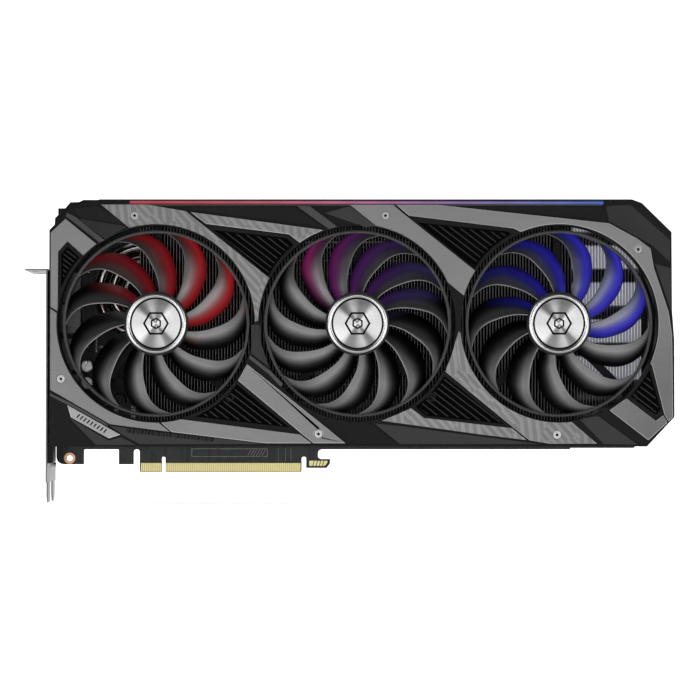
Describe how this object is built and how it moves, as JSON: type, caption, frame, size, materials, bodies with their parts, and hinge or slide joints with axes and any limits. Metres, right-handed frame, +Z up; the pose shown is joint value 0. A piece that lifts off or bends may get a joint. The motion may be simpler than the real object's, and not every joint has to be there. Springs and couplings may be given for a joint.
{
  "type": "graphics card",
  "caption": "Long graphics card for a desktop computer: slotted bracket, board with edge connector, finned cooler under an angular shroud with axial fans, light bar and vented backplate.",
  "frame": {"origin": "centre of the edge connector's key notch, at the bottom edge of the contacts, on the mid-plane of the circuit board", "axes": "+X along the card away from the bracket, +Z up across the board from the edge connector to the top edge, -Y out of the fans"},
  "size_m": [0.3317, 0.0588, 0.1548],
  "materials": {
    "fan_plastic": "satin, dark smoke grey",
    "badge_metal": "radially brushed with a polished bevel",
    "rotor_steel": "plain",
    "magnet": "matte",
    "bearing_brass": "machined",
    "winding_copper": "enamelled wire",
    "shroud_plastic": "fine moulded texture",
    "accent_metal": "satin silver grey",
    "screw_steel": "plated",
    "black_screw": "black plated",
    "light_diffuser": "translucent, lit red through violet to blue",
    "board": "black solder mask",
    "gold": "plated contacts",
    "chip": "moulded package",
    "inductor": "pressed powder",
    "capacitor_can": "can with dark sleeve",
    "connector_plastic": "moulded",
    "nickel": "nickel plate, satin",
    "fin_aluminium": "mill finish sheet",
    "backplate_metal": "brushed and anodised black",
    "bracket_metal": "nickel-plated sheet",
    "socket_shell": "stamped shell"
  },
  "bodies": {
    "card": {"fan_left_motor_base": "fan_plastic", "fan_centre_motor_base": "fan_plastic", "fan_right_motor_base": "fan_plastic", "fan_bearings": "bearing_brass", "fan_stators": "winding_copper", "fan_screws": "black_screw", "shroud": "shroud_plastic", "accent_plate_01": "accent_metal", "accent_plate_02": "accent_metal", "accent_plate_03": "accent_metal", "accent_plate_04": "accent_metal", "accent_plate_05": "accent_metal", "accent_plate_06": "accent_metal", "accent_plate_07": "accent_metal", "accent_plate_08": "accent_metal", "accent_plate_09": "accent_metal", "accent_plate_10": "accent_metal", "accent_plate_11": "accent_metal", "name_plate": "accent_metal", "shroud_screws": "screw_steel", "light_bar": "light_diffuser", "light_strip_board": "board", "circuit_board": "board", "edge_contacts": "gold", "gpu_package": "chip", "memory_chips": "chip", "power_inductors": "inductor", "power_stages": "chip", "capacitors": "capacitor_can", "fan_headers": "connector_plastic", "cold_plate": "nickel", "heatpipes": "nickel", "fin_stack_left": "fin_aluminium", "fin_stack_right": "fin_aluminium", "backplate": "backplate_metal", "retention_bracket": "rotor_steel", "rear_screws": "black_screw", "io_bracket": "bracket_metal", "displayport_sockets": "socket_shell", "hdmi_sockets": "socket_shell", "bracket_screws": "screw_steel", "power_sockets": "connector_plastic", "power_pins": "gold", "bios_switch_housing": "connector_plastic"},
    "fan_left": {"fan_left_impeller": "fan_plastic", "fan_left_badge": "badge_metal", "fan_left_yoke": "rotor_steel", "fan_left_magnet": "magnet", "fan_left_shaft": "rotor_steel"},
    "fan_centre": {"fan_centre_impeller": "fan_plastic", "fan_centre_badge": "badge_metal", "fan_centre_yoke": "rotor_steel", "fan_centre_magnet": "magnet", "fan_centre_shaft": "rotor_steel"},
    "fan_right": {"fan_right_impeller": "fan_plastic", "fan_right_badge": "badge_metal", "fan_right_yoke": "rotor_steel", "fan_right_magnet": "magnet", "fan_right_shaft": "rotor_steel"},
    "bios_switch": {"bios_switch_slider": "connector_plastic"}
  },
  "joints": [
    {"name": "fan_left_spin", "type": "hinge", "parent": "card", "child": "fan_left", "pos_m": [-0.0005, -0.041, 0.0767], "axis": [0, -1, 0], "continuous": true},
    {"name": "fan_centre_spin", "type": "hinge", "parent": "card", "child": "fan_centre", "pos_m": [0.1019, -0.041, 0.0767], "axis": [0, 1, 0], "continuous": true},
    {"name": "fan_right_spin", "type": "hinge", "parent": "card", "child": "fan_right", "pos_m": [0.2043, -0.041, 0.0767], "axis": [0, -1, 0], "continuous": true},
    {"name": "bios_switch_slide", "type": "slide", "parent": "card", "child": "bios_switch", "axis": [1, 0, 0], "range_m": [0, 0.002]}
  ]
}
